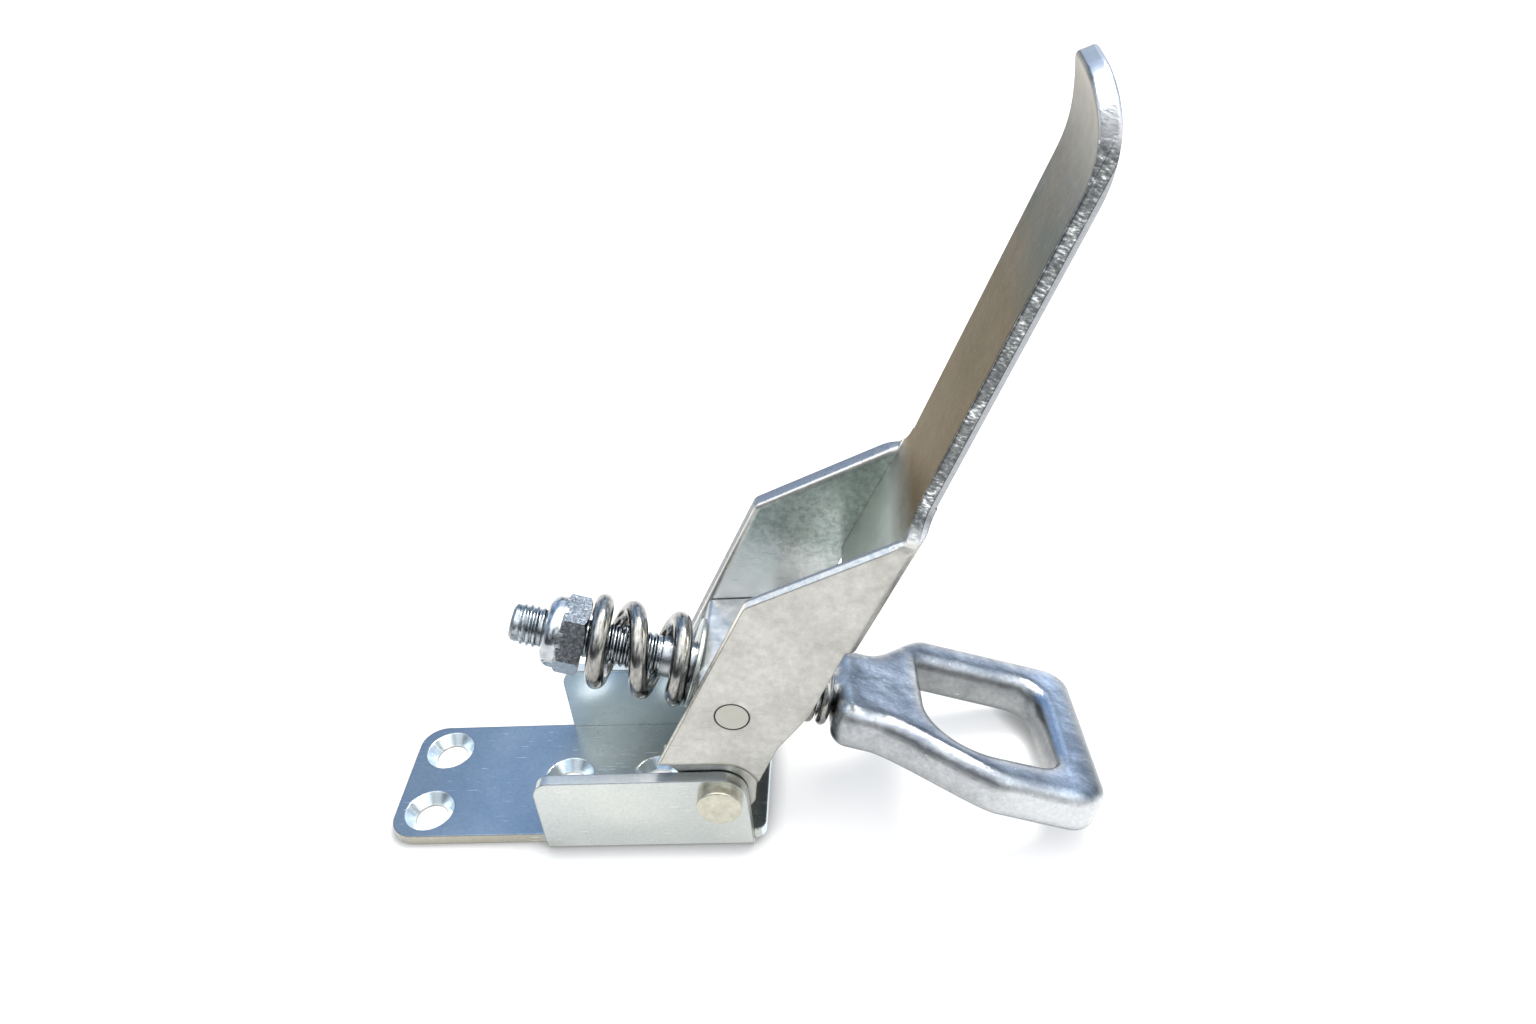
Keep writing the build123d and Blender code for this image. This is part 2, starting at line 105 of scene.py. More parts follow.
right, up, forward = camera_axes(CAM_YAW, CAM_PITCH, CAM_ROLL)
camera = bpy.data.objects.new("camera", bpy.data.cameras.new("camera"))
bpy.context.scene.collection.objects.link(camera)
axes = np.stack([right, up, -forward], 1)  # a camera looks along its own -Z
camera.matrix_world = Matrix([[*row, p] for row, p in zip(axes, CAM_POS)] + [[0, 0, 0, 1]])
camera.data.sensor_width = SENSOR_W
camera.data.lens = SENSOR_W * CAM_FOCAL_PX / FRAME_W
camera.data.clip_start = 10 * MM
bpy.context.scene.camera = camera
print("lens, mm:", round(camera.data.lens, 2))

# %% [markdown]
# ## Colours and nodes
# Colours are picked as sRGB hex, the way a paint chip is read off a screen, and turned to
# the linear values that the renderer mixes. A procedural material is a chain of nodes.
# One small function adds a node, makes its settings and links its inputs, so a material
# below reads as a list of steps. Inputs given without names go in from the top: a noise
# takes coordinates, scale, detail and roughness, a map range the value and the ranges, a
# mix its factor and two colours. Most nodes have one output that matters, the first one
# that is live, so a node can be handed over as it is.

# %% Colour and node functions
def linear(hex_colour):
    """sRGB hex to linear RGBA: the inverse of the sRGB curve on each channel."""
    c = np.array([int(hex_colour[i:i + 2], 16) for i in (1, 3, 5)]) / 255.0
    c = np.where(c <= 0.04045, c / 12.92, ((c + 0.055) / 1.055) ** 2.4)
    return (*c.tolist(), 1.0)


def add(tree, kind, inputs=(), stops=(), **settings):
    """Adds a node with its settings. inputs are values by name, or a list in the order the node shows
    them: numbers, vectors, hex colours, outputs, or nodes, whose first live output is meant.
    stops are a colour ramp's pairs of a position and a hex or a grey."""
    node = tree.nodes.new("ShaderNode" + kind)
    for name, value in settings.items():
        setattr(node, name, value)
    sockets = [socket for socket in node.inputs if socket.enabled]
    if isinstance(inputs, dict):
        sockets, inputs = [node.inputs[name] for name in inputs], inputs.values()
    for socket, value in zip(sockets, inputs):
        if isinstance(value, bpy.types.Node):
            value = next(output for output in value.outputs if output.enabled)
        if isinstance(value, bpy.types.NodeSocket):
            tree.links.new(value, socket)
        else:
            socket.default_value = linear(value) if isinstance(value, str) else value
    for number, (position, tone) in enumerate(stops):
        elements = node.color_ramp.elements
        stop = elements[number] if number < len(elements) else elements.new(position)
        stop.position = position
        stop.color = linear(tone) if isinstance(tone, str) else (tone, tone, tone, 1.0)
    return node


COLOUR = {"data_type": "RGBA"}  # makes a mix node mix colours
OVERLAY = {**COLOUR, "blend_type": "OVERLAY"}
print("mid grey #808080 is linear", round(linear("#808080")[0], 3))

# %% [markdown]
# ## Starting and ending a material
# Every material starts from the piece's coordinates and ends in the same shader. Object
# coordinates are in metres from the part's origin, so a place on the latch can be picked
# by its size, and they follow the piece when it moves. A noise takes its scale in patches
# a metre, which we work out from a patch's width in millimetres.

# %% Material functions
def per_metre(width):
    """How many patches of a width in millimetres fit in a metre, to a whole number."""
    return round(1.0 / (width * MM))


def new_material(name):
    """An empty node material, with its node tree and its coordinates."""
    material = bpy.data.materials.new(name)
    material.use_nodes = True
    tree = material.node_tree
    tree.nodes.clear()
    return material, tree, add(tree, "TexCoord").outputs


def finish_material(material, inputs):
    """Adds the shader with its inputs, and the material's output."""
    shader = add(material.node_tree, "BsdfPrincipled", inputs)
    add(material.node_tree, "OutputMaterial", {"Surface": shader})
    print(material.name, "has", len(material.node_tree.nodes), "nodes")
    return material


def dress(name, material):
    """Puts a material on a CAD node."""
    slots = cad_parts[name].data.materials
    slots.clear()
    slots.append(material)


# %% [markdown]
# ## Marks that several finishes share
# Plated steel that has been handled has thin straight scratches. A real scratch is far
# finer than a pixel, so ours are a third of a millimetre wide to show at all. Every edge
# gets a painted dark line, standing for the dark reflection that a rounded edge catches.
# A Bevel node finds the edges: it gives the normal of a rounded edge, and where that
# leans away from the true normal there is an edge. The same rounded normal lets sharp CAD
# edges catch the light.

# %% Shared marks
SCRATCH_STEP = 0.04          # how fast a scratch starts out of the noise
EDGE_RADIUS = 0.5 * MM
EDGE_SHARE = 0.85            # how dark the line on an edge is


def scratches(tree, place, turn, length=6.25, width=0.3333, rare=0.66):
    """A mask of thin scratches: noise squeezed across one direction, cut off near its top."""
    scale = tuple(map(per_metre, (length, width, width)))
    laid = add(tree, "Mapping", {"Vector": place["Object"], "Rotation": turn, "Scale": scale})
    line = add(tree, "TexNoise", [laid, 1.0])
    return add(tree, "MapRange", [line, rare, rare + SCRATCH_STEP])


def outlined(tree, tone, dark):
    """The tone with a painted dark line on every edge, standing for the dark reflection a rounded
    edge catches: the dot product of the true normal and a rounded one is 1 on a flat and less on
    an edge. Gives the colour and the rounded normal."""
    rounded = add(tree, "Bevel", {"Radius": EDGE_RADIUS}, samples=4)
    true = add(tree, "NewGeometry").outputs["Normal"]
    agree = add(tree, "VectorMath", [rounded, true], operation="DOT_PRODUCT")
    on_edge = add(tree, "MapRange", [agree, 0.985, 0.80])
    # a painted dark line on the edge, for a rounded edge's dark reflection
    edge_dark_reflection = add(tree, "Math", [on_edge, EDGE_SHARE], operation="MULTIPLY")
    return add(tree, "Mix", [edge_dark_reflection, tone, dark], **COLOUR), rounded


print("an edge is rounded by, mm:", EDGE_RADIUS / MM)

# %% [markdown]
# ## Rolled sheet: the tints
# The base bracket is cold rolled steel under bright zinc. Plating is thin and shows a
# bluish tint on the open plate, and the ears are pale inside. The channel floor between
# the ears is painted a darker greenish grey as shade from the ears, and darker still
# towards the pivot. Each tint is a pair of greys chosen by slow noise, so no face is quite
# even. The sheared rim of the plate is dull and warm, and the ears' tops are pale.

# %% Bracket tints
PLATE = 3.0 * MM             # sheet thickness
EAR_INSIDE = 18.2 * MM       # half the gap between the ears
EAR_START = -45.0 * MM
EAR_TOP = 23.7 * MM


def bracket_tints(tree, place, cloud):
    """The bracket's colour by place, and a mask of the ears' tops."""
    spot = add(tree, "SeparateXYZ", [place["Object"]]).outputs
    facing = add(tree, "SeparateXYZ", [place["Normal"]]).outputs
    up = add(tree, "MapRange", [facing["Z"], 0.85, 0.97])
    at_end = add(tree, "MapRange", [spot["X"], EAR_START + 5 * MM, EAR_START - 5 * MM])
    # the channel between the ears, and the ears
    ear_inside = add(tree, "ValToRGB", [cloud], [(0.30, "#D8E6EE"), (0.70, "#EDF8FD")])
    # the channel floor: darker greys, darker still towards the pivot, all painted shade from the ears
    shaded_channel_floor = add(tree, "ValToRGB", [cloud], [(0.30, "#929896"), (0.70, "#A6ABA8")])
    deep = add(tree, "MapRange", [spot["X"], -36 * MM, -12 * MM])
    shaded = add(tree, "Mix", [deep, shaded_channel_floor, "#7C8280"], **COLOUR)
    channel = add(tree, "Mix", [up, ear_inside, shaded], **COLOUR)
    half = add(tree, "Math", [spot["Y"]], operation="ABSOLUTE")
    within = add(tree, "MapRange", [half, EAR_INSIDE + 0.10 * MM, EAR_INSIDE + 0.02 * MM])
    outside = add(tree, "ValToRGB", [cloud], [(0.30, "#B7BCBA"), (0.70, "#CCCFCA")])
    ears = add(tree, "Mix", [within, outside, channel], **COLOUR)
    # the open end of the plate, darker towards its far edge
    open_plate = add(tree, "ValToRGB", [cloud], [(0.30, "#99A5AF"), (0.55, "#A4AEB7"), (0.75, "#B4BABF")])
    outer = add(tree, "MapRange", [spot["X"], -62 * MM, -82 * MM])
    plate = add(tree, "Mix", [outer, open_plate, "#8F989F"], **COLOUR)
    end_face = add(tree, "Math", [at_end, up], operation="MULTIPLY")
    faces = add(tree, "Mix", [end_face, ears, plate], **COLOUR)
    # sheared edges
    low = add(tree, "MapRange", [spot["Z"], PLATE + 0.1 * MM, PLATE - 0.1 * MM])
    sheer = add(tree, "MapRange", [facing["Z"], 0.4, 0.2])
    rim = add(tree, "Math", [low, sheer], operation="MULTIPLY")
    end_rim = add(tree, "Math", [rim, at_end], operation="MULTIPLY")
    rimmed = add(tree, "Mix", [end_rim, faces, "#A5A296"], **COLOUR)
    ear_top = add(tree, "MapRange", [spot["Z"], EAR_TOP - 0.5 * MM, EAR_TOP - 0.2 * MM])
    return add(tree, "Mix", [ear_top, rimmed, "#B4BBBF"], **COLOUR), ear_top


print("gap between the ears, mm:", round(2 * EAR_INSIDE / MM, 1))

# %% [markdown]
# ## Rolled sheet: the surface
# Rolling leaves faint lines along the sheet and plating adds a fine speckle. The lines
# are noise stretched fifty times along X, and both are shallow bumps on the rounded
# normal. Real rolling lines are a few hundredths of a millimetre wide; they are drawn
# 0.67 mm wide here, as fine as the view can show. The gloss follows the same slow noise
# as the tint, because thicker plating is both paler and duller.

# %% Bracket material
def bracket_finish():
    """Bright zinc on rolled sheet: cloudy satin metal with speckle, scratches and painted dark edges."""
    material, tree, place = new_material("bright_zinc_on_rolled_sheet")
    here = place["Object"]
    cloud = add(tree, "TexNoise", [here, per_metre(35.7), 5.0, 0.6])
    tone, ear_top = bracket_tints(tree, place, cloud)
    speck = add(tree, "TexNoise", [here, per_metre(0.6667), 3.0, 0.7])
    speckled = add(tree, "Mix", [0.22, tone, speck], **OVERLAY)
    lines = scratches(tree, place, (0.0, 0.6, 0.35), rare=0.69)
    scored = add(tree, "Mix", [lines, speckled, "#DADCDC"], **COLOUR)
    # a painted dark line on every edge, for the dark reflection of a rounded edge
    colour, rounded = outlined(tree, scored, "#4A4C4C")
    scale = tuple(map(per_metre, (33.3, 0.6667, 0.6667)))
    drawn = add(tree, "Mapping", {"Vector": here, "Scale": scale})
    grain = add(tree, "TexNoise", [drawn, 1.0, 3.0])
    rolled = add(tree, "Bump", {"Strength": 0.10, "Distance": 0.05 * MM, "Height": grain, "Normal": rounded})
    relief = add(tree, "Bump", {"Strength": 0.16, "Distance": 0.10 * MM, "Height": speck, "Normal": rolled})
    gloss = add(tree, "MapRange", [cloud, 0.3, 0.7, 0.20, 0.30])
    dull = add(tree, "Math", [ear_top, 0.25, gloss], operation="MULTIPLY_ADD")
    inputs = {"Base Color": colour, "Roughness": dull, "Normal": relief, "Metallic": 1.0}
    return finish_material(material, inputs)


dress("base_bracket", bracket_finish())

# %% [markdown]
# ## Pressed sheet: finding the places
# The lever is one sheet, blanked, folded to a channel and curled at its tip. Its faces,
# its cut edges, the channel's inside and the handle all look different, so we first make
# a mask for each. Two Mapping nodes turn positions and normals into the lever's own
# frame, where X runs from the pivot to the tip. There a cut edge on the channel's walls
# is what doesn't face sideways, and on the handle it is what does.

# %% Masks on the lever
SHEET = 4.0 * MM
WALL_INSIDE = 16.6 * MM      # half the channel's inner width
WALL_OUTSIDE = WALL_INSIDE + SHEET
WEB_FACE = -10.0 * MM        # the web lies below this, in the lever's frame
THROAT = 86.0 * MM           # where the channel ends and the handle starts
HANDLE_END = 185.0 * MM
HANDLE_LEAN = 1.4 / 74.0     # the handle's inner face climbs 1.4 mm over its 74 mm
HANDLE_FACE = -9.5 * MM - 88.0 * MM * HANDLE_LEAN  # that face, carried back to the pivot


def lever_places(tree, place):
    """Coordinates and masks on the lever, by name."""
    at = SimpleNamespace()
    facing = add(tree, "SeparateXYZ", [place["Normal"]]).outputs
    at.across = add(tree, "SeparateXYZ", [place["Object"]]).outputs["Y"]
    at.half = add(tree, "Math", [at.across], operation="ABSOLUTE")
    at.side = add(tree, "Math", [facing["Y"]], operation="ABSOLUTE")
    from_pivot = add(tree, "Mapping", {"Vector": place["Object"], "Location": (0.0, 0.0, -PIVOT[2])})
    at.frame = add(tree, "Mapping", {"Vector": from_pivot, "Rotation": (0.0, LEVER_ANGLE, 0.0)})
    at.local = add(tree, "SeparateXYZ", [at.frame]).outputs
    turned = add(tree, "Mapping", {"Vector": place["Normal"], "Rotation": (0.0, LEVER_ANGLE, 0.0)})
    at.aslant = add(tree, "SeparateXYZ", [turned]).outputs
    at.way = add(tree, "MapRange", [at.local["X"], 85 * MM, HANDLE_END])
    # the cut edges: of the walls above the web, and of the handle beyond the throat
    on_wall = add(tree, "Math", [at.half, WALL_INSIDE - 0.3 * MM], operation="GREATER_THAN")
    off_web = add(tree, "Math", [at.local["Z"], WEB_FACE], operation="GREATER_THAN")
    wall = add(tree, "Math", [on_wall, off_web], operation="MULTIPLY")
    not_side = add(tree, "MapRange", [at.side, 0.80, 0.60])
    wall_cut = add(tree, "Math", [wall, not_side], operation="MULTIPLY")
    past_throat = add(tree, "MapRange", [at.local["X"], THROAT - 2 * MM, THROAT + 2 * MM])
    sideways = add(tree, "MapRange", [at.side, 0.35, 0.6])
    at.handle_cut = add(tree, "Math", [past_throat, sideways], operation="MULTIPLY")
    at.cut = add(tree, "Math", [wall_cut, at.handle_cut], operation="MAXIMUM")
    # the inside: what faces the open side of the channel, and the walls between its corners
    at.inner = add(tree, "MapRange", [at.aslant["Z"], 0.55, 0.85])
    at.between_walls = add(tree, "MapRange", [at.half, WALL_INSIDE + 0.2 * MM, WALL_INSIDE])
    on_side = add(tree, "MapRange", [at.side, 0.6, 0.8])
    at.lined = add(tree, "Math", [at.between_walls, on_side], operation="MULTIPLY")
    return at


print("the handle leans, degrees:", round(math.degrees(math.atan(HANDLE_LEAN)), 2))

# %% [markdown]
# ## Pressed sheet: the faces
# The faces are cloudy bright zinc with a fine speckle. The handle's inner side is painted
# with a reflection: brown, browner in patches, turning blue grey and then pale towards the
# tip. The walls' inner faces have a painted highlight at their lower end and a painted
# greenish grey reflection further up, with more speckle than elsewhere. The web's inside
# below the throat is painted almost white, as painted light in the channel. Plating's own
# grain is too fine to show, so the speckle is drawn 1.4 mm wide, between blotches of 3 mm.
# OVERLAY mixes a grey noise in so that it lightens and darkens a tone without moving its
# average.

# %% Lever faces
# the walls' inner faces: a painted highlight at the lower end, then a painted greenish grey reflection
# further up
WALL_HIGHLIGHT_AND_REFLECTION = [(0.0, "#FFFFFF"), (0.14, "#F4F7F5"), (0.42, "#9DA8A3"), (1.0, "#B6BFBA")]
# the handle's inner side: a painted reflection, brown, then blue grey and pale towards the tip
HANDLE_PAINTED_REFLECTION = [(0.0, "#655942"), (0.50, "#5C533F"), (0.68, "#555F5F"), (0.84, "#868886"), (1.0, "#A4A39D")]


def handle_painted_reflection(tree, place, at):
    """A painted reflection along the handle, browner in patches where slow noise is high."""
    tint = add(tree, "ValToRGB", [at.way], HANDLE_PAINTED_REFLECTION)
    mottle = add(tree, "TexNoise", [place["Object"], per_metre(13.3), 6.0, 0.7])
    patch = add(tree, "MapRange", [mottle, 0.45, 0.62, 0.0, 0.25])
    return add(tree, "Mix", [patch, tint, "#7A5F49"], **COLOUR)


def lever_faces(tree, place, at, cloud, speck):
    """The colour of the lever's faces: walls, web and handle, then blotches, speckle and scratches."""
    tone = add(tree, "ValToRGB", [cloud], [(0.34, "#A8A7A1"), (0.66, "#BCBBB6")])
    climb = add(tree, "MapRange", [at.local["X"], 30 * MM, 90 * MM])
    # painted highlight and painted reflection on the walls' inner faces, along the lever
    wall_light = add(tree, "ValToRGB", [climb], WALL_HIGHLIGHT_AND_REFLECTION)
    walls = add(tree, "Mix", [at.lined, tone, wall_light], **COLOUR)
    # the web's inside below the throat is painted almost white: painted light in the channel
    below = add(tree, "MapRange", [at.local["X"], THROAT + 6 * MM, THROAT - 6 * MM])
    inner_below = add(tree, "Math", [at.inner, below], operation="MULTIPLY")
    on_web = add(tree, "Math", [inner_below, at.between_walls], operation="MULTIPLY")
    webbed = add(tree, "Mix", [on_web, walls, "#FCFFFA"], **COLOUR)
    beyond = add(tree, "MapRange", [at.local["X"], THROAT - 6 * MM, THROAT + 6 * MM])
    on_handle = add(tree, "Math", [at.inner, beyond], operation="MULTIPLY")
    # the handle's inner side takes its painted reflection
    handle_reflection = handle_painted_reflection(tree, place, at)
    handled = add(tree, "Mix", [on_handle, webbed, handle_reflection], **COLOUR)
    blotch = add(tree, "TexNoise", [place["Object"], per_metre(3.03), 5.0, 0.7])
    blotched = add(tree, "Mix", [0.30, handled, blotch], **OVERLAY)
    grainy = add(tree, "Math", [at.lined, 0.45, 0.20], operation="MULTIPLY_ADD")
    speckled = add(tree, "Mix", [grainy, blotched, speck], **OVERLAY)
    lines = scratches(tree, place, (0.0, -1.2, 0.0), rare=0.70)
    return add(tree, "Mix", [lines, speckled, "#9D9C97"], **COLOUR)


print("the handle's tint has", len(HANDLE_PAINTED_REFLECTION), "stops")

# %% [markdown]
# ## Pressed sheet: the handle's cut edge
# A blanking punch shears the first third of a thick sheet to a smooth burnished band and
# tears the rest into grains, dark to bright, whose brightest are painted glints. The grains
# are noise 0.6 by 1.1 by 1.4 mm; real ones are a few tenths of a millimetre, and are drawn
# coarser so that they show. How far a point lies through the thickness comes from its
# height above the handle's leaning face, and a ramp over it places the band and the dark
# line on each side. Both ends of the handle's edge are drawn lighter.

# %% Cut edges
TORN_GRAIN = (0.5882, 1.111, 1.429)  # mm
# the brightest grains are painted glints
GRAINS = [(0.38, "#5E6061"), (0.52, "#777A7A"), (0.61, "#9A9D9D"), (0.70, "#EEF0F2")]
DARK_LINES = [(0.05, 0.0), (0.08, 0.8), (0.13, 0.0), (0.62, 0.0), (0.67, 0.9), (0.71, 0.0)]
# both ends of the handle's edge are drawn lighter
LIGHTER_ENDS = [(0.0, 1.0), (0.05, 0.0), (0.87, 0.0), (0.91, 1.0), (0.95, 1.0), (0.99, 0.3)]


def torn_noise(tree, at):
    """Torn steel: fine noise drawn out across the sheet."""
    scale = tuple(map(per_metre, TORN_GRAIN))
    drawn = add(tree, "Mapping", {"Vector": at.frame, "Rotation": (0.0, 0.5, 0.0), "Scale": scale})
    return add(tree, "TexNoise", [drawn, 1.0, 4.0, 0.62])


def handle_edge(tree, place, at, torn):
    """The colour of the handle's cut edge: grains with painted glints, then the burnished band, its lines and
    the lighter ends.
    """
    slow = add(tree, "TexNoise", [place["Object"], per_metre(5.88), 3.0])
    patches = add(tree, "MapRange", [slow, 0.3, 0.7, -0.10, 0.10])
    pulled = add(tree, "Math", [torn, patches], operation="ADD")
    grains = add(tree, "ValToRGB", [pulled], GRAINS)
    depth = add(tree, "Math", [at.local["X"], -HANDLE_LEAN, at.local["Z"]], operation="MULTIPLY_ADD")
    through = add(tree, "MapRange", [depth, HANDLE_FACE, HANDLE_FACE - SHEET])
    burnished = add(tree, "ValToRGB", [through], [(0.66, 0.0), (0.69, 1.0)])
    banded = add(tree, "Mix", [burnished, grains, "#A6A9AC"], **COLOUR)
    line = add(tree, "ValToRGB", [through], DARK_LINES)
    lined = add(tree, "Mix", [line, banded, "#3F4142"], **COLOUR)
    lighter_ends = add(tree, "ValToRGB", [at.way], LIGHTER_ENDS)
    return add(tree, "Mix", [lighter_ends, lined, "#E4E6E8"], **COLOUR)


print("torn grains, mm:", TORN_GRAIN)

# %% [markdown]
# ## Pressed sheet: the walls' cut edges
# The two walls' edges show as narrow strips, so a strip pattern across the 4 mm is
# enough: where the sheet rolled over, a bright warm strip is a painted highlight, and the
# sheared part beside it is a bluish grey. A ramp over Y draws the strips for each wall, and
# the torn noise is laid over both.

# %% Wall edges
# the bright warm stops are the painted highlight on the rolled-over edge
NEAR_STRIP = [(0.0, "#A8A49A"), (0.10, "#FFF9EC"), (0.46, "#FFF9EC"), (0.58, "#94979B"), (1.0, "#A3A6AB")]
FAR_STRIP = [(0.0, "#FBF8F0"), (0.16, "#FBF8F0"), (0.25, "#A0A4AA"), (1.0, "#94989E")]


def wall_edge(tree, at, torn):
    """The colour of the walls' cut edges: a ramp over Y for each wall."""
    near = add(tree, "MapRange", [at.across, -WALL_OUTSIDE, -WALL_INSIDE])
    near_strip = add(tree, "ValToRGB", [near], NEAR_STRIP)
    far = add(tree, "MapRange", [at.across, WALL_INSIDE, WALL_OUTSIDE])
    far_strip = add(tree, "ValToRGB", [far], FAR_STRIP)
    far_side = add(tree, "Math", [at.across, 0.0], operation="GREATER_THAN")
    strips = add(tree, "Mix", [far_side, near_strip, far_strip], **COLOUR)
    return add(tree, "Mix", [0.30, strips, torn], **OVERLAY)


print("the walls' edges start, mm from the middle:", round(WALL_INSIDE / MM, 1))

# %% [markdown]
# ## Pressed sheet: the tip, the web's end and the journal
# The curled tip's up-facing end carries a painted highlight, and the web's lower end, which
# faces down, is painted dark as shade. The trunnion block's journal ends flush with the
# wall, and the dark edge of its hole shows as a thin ring. The mask for it is a distance in
# the XZ plane, which the walls lie in, so it is the same circle on both.

# %% Wear on the lever
JOURNAL_RADIUS = 4.2 * MM
GAP = 0.15 * MM  # half the width of the dark ring's fade


def lever_tip_and_web_end(tree, at, colour):
    """The colour with a painted highlight on the tip's up-facing end and painted shade on the web's lower
    end.
    """
    # a painted highlight where the curled tip's end faces up along the lever
    tip = add(tree, "MapRange", [at.local["X"], 170 * MM, 174 * MM])
    ahead = add(tree, "MapRange", [at.aslant["X"], 0.55, 0.75])
    tip_highlight = add(tree, "Math", [ahead, tip], operation="MULTIPLY")
    # painted shade on the web's lower end, which faces down
    web = add(tree, "MapRange", [at.half, WALL_INSIDE, WALL_INSIDE - 0.2 * MM])
    backwards = add(tree, "MapRange", [at.aslant["X"], -0.7, -0.9])
    web_end = add(tree, "Math", [backwards, web], operation="MULTIPLY")
    tipped = add(tree, "Mix", [tip_highlight, colour, "#CBD3DD"], **COLOUR)
    return add(tree, "Mix", [web_end, tipped, "#5E6461"], **COLOUR)


def journal_ring(tree, place):
    """A mask of the journal's hole: 1 inside its radius, by the distance from its axis along Y."""
    flat = add(tree, "VectorMath", [place["Object"], (1.0, 0.0, 1.0)], operation="MULTIPLY")
    reach = add(tree, "VectorMath", [flat, tuple(JOURNAL)], operation="DISTANCE")
    return add(tree, "MapRange", [reach, JOURNAL_RADIUS + GAP, JOURNAL_RADIUS - GAP])


print("journal's dark ring, radius in mm:", round(JOURNAL_RADIUS / MM, 2))

# %% [markdown]
# ## Pressed sheet: the material
# Now the pieces come together. The cut mask chooses between faces and edges three times:
# for the colour, for the gloss, because torn steel is duller, and for the bump, because
# it is rougher. A slightly warm Specular Tint keeps the faces' glancing reflections from
# going blue.

# %% Lever material
def lever_finish():
    """Bright zinc on pressed sheet: faces and cut edges put together."""
    material, tree, place = new_material("bright_zinc_on_pressed_sheet")
    here = place["Object"]
    at = lever_places(tree, place)
    cloud = add(tree, "TexNoise", [here, per_metre(16.7), 6.0, 0.62])
    speck = add(tree, "TexNoise", [here, per_metre(1.429), 4.0, 0.65])
    torn = torn_noise(tree, at)
    walls, handle = wall_edge(tree, at, torn), handle_edge(tree, place, at, torn)
    edges = add(tree, "Mix", [at.handle_cut, walls, handle], **COLOUR)
    faces = lever_faces(tree, place, at, cloud, speck)
    put_together = add(tree, "Mix", [at.cut, faces, edges], **COLOUR)
    # a painted dark line on every edge, for the dark reflection of a rounded edge
    finished, rounded = outlined(tree, lever_tip_and_web_end(tree, at, put_together), "#4C4B49")
    ring = journal_ring(tree, place)
    colour = add(tree, "Mix", [ring, finished, "#2E2E2C"], **COLOUR)
    face_gloss = add(tree, "MapRange", [cloud, 0.3, 0.7, 0.26, 0.36])
    edge_gloss = add(tree, "MapRange", [torn, 0.4, 0.65, 0.50, 0.25])
    gloss = add(tree, "Mix", [at.cut, face_gloss, edge_gloss])
    skin = add(tree, "Bump", {"Strength": 0.40, "Distance": 0.15 * MM, "Height": speck, "Normal": rounded})
    tear = add(tree, "Math", [torn, at.cut], operation="MULTIPLY")
    relief = add(tree, "Bump", {"Strength": 0.35, "Distance": 0.30 * MM, "Height": tear, "Normal": skin})
    inputs = {"Base Color": colour, "Roughness": gloss, "Normal": relief, "Metallic": 1.0}
    return finish_material(material, {**inputs, "Specular Tint": "#DAD7D1"})


dress("lever", lever_finish())

# %% [markdown]
# ## Turned and milled parts
# The pin, the block and the washer are bright zinc over turned or milled steel. They
# share one recipe with a few settings: two greys, the gloss, and how deep and how wide
# the marks are. Tool marks are too fine to show, so they are drawn 2 to 4 mm wide. A
# pin's head is struck when it is riveted, which leaves it warm, dull and dented. The
# block's journal ends are cut after plating, so they take a duller tint, and the mask for
# them is simply how far a point is from the middle plane.

# %% Small parts
JOURNAL_END = 20.0 * MM      # the block is plain steel beyond this
GLOSS_SPREAD = 0.14          # how much the roughness varies over a part


def small_part(name, dark, light, gloss, dents, width, ends=None):
    """Zinc between two greys, chosen by noise of a width in millimetres. gloss is the lowest roughness,
    dents the bump's strength, and ends the tint of the journals' ends."""
    material, tree, place = new_material(name)
    cloud = add(tree, "TexNoise", [place["Object"], per_metre(width), 5.0, 0.6])
    tone = add(tree, "ValToRGB", [cloud], [(0.32, dark), (0.68, light)])
    if ends:
        across = add(tree, "SeparateXYZ", [place["Object"]]).outputs["Y"]
        half = add(tree, "Math", [across], operation="ABSOLUTE")
        at_end = add(tree, "MapRange", [half, JOURNAL_END, JOURNAL_END + 0.3 * MM])
        tone = add(tree, "Mix", [at_end, tone, ends], **COLOUR)
    roughness = add(tree, "MapRange", [cloud, 0.3, 0.7, gloss, gloss + GLOSS_SPREAD])
    relief = add(tree, "Bump", {"Strength": dents, "Distance": 0.3 * MM, "Height": cloud})
    inputs = {"Base Color": tone, "Roughness": roughness, "Normal": relief, "Metallic": 1.0}
    return finish_material(material, inputs)


dress("main_pivot_pin", small_part("zinc_on_riveted_pin", "#B9B6A6", "#D6D3C4", 0.34, 0.35, 2.38))
block_finish = small_part("zinc_on_milled_block", "#ADB1B2", "#CBCECE", 0.28, 0.15, 3.85, ends="#ACABA3")
dress("trunnion_block", block_finish)
dress("spring_washer", small_part("zinc_on_washer", "#9AA09C", "#C2C7C4", 0.22, 0.15, 3.33))

# %% [markdown]
# ## The lock nut
# A lock nut is cold formed. Its collar is spun smooth over the nylon, so it shines like
# chrome, while the hexagon keeps a finely wrinkled skin, drawn here with wrinkles of 0.8
# mm, a little coarser than they are. The distance along the rod tells the two apart: it
# is the dot product of the rod's direction with the position, and it stays right however
# the nut is turned round the rod. What faces down is scaled darker, as painted shade.

# %% Lock nut material
HEX_END = -44.9 * MM  # along the rod, from the trunnion


def underside(tree, place, tone, share, level=-0.10):
    """The tone scaled by share where the surface faces down: painted shade."""
    facing = add(tree, "SeparateXYZ", [place["Normal"]]).outputs
    scale = add(tree, "MapRange", [facing["Z"], -0.75, level, share, 1.0])
    return add(tree, "VectorMath", [tone, scale], operation="SCALE")


